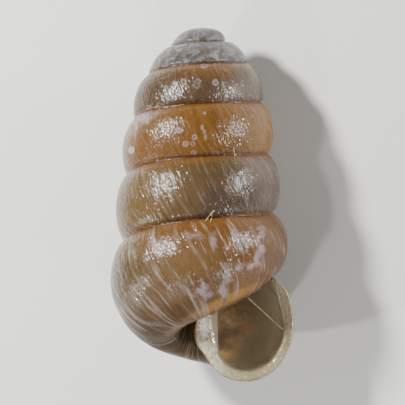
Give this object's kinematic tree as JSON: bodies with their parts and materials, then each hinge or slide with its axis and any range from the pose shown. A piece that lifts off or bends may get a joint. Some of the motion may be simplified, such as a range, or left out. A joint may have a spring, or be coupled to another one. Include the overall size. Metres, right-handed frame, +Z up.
{
  "type": "snail shell",
  "caption": "Tiny pupa-shaped land snail shell, right-handed spiral with rounded whorls, deep seams, a toothless round mouth with a pale flared lip and a hollow that winds up inside.",
  "frame": {"origin": "middle of the shell's box on the floor plane, the shell lying on its back", "axes": "+Y along the shell from its base to its tip, +Z up, the mouth facing up and a little toward +X"},
  "size_m": [0.0018, 0.0036, 0.0018],
  "materials": {
    "shell": "glossy, slightly translucent horn-coloured shell with pale growth streaks"
  },
  "bodies": {
    "root": {"shell": "shell"}
  },
  "joints": []
}
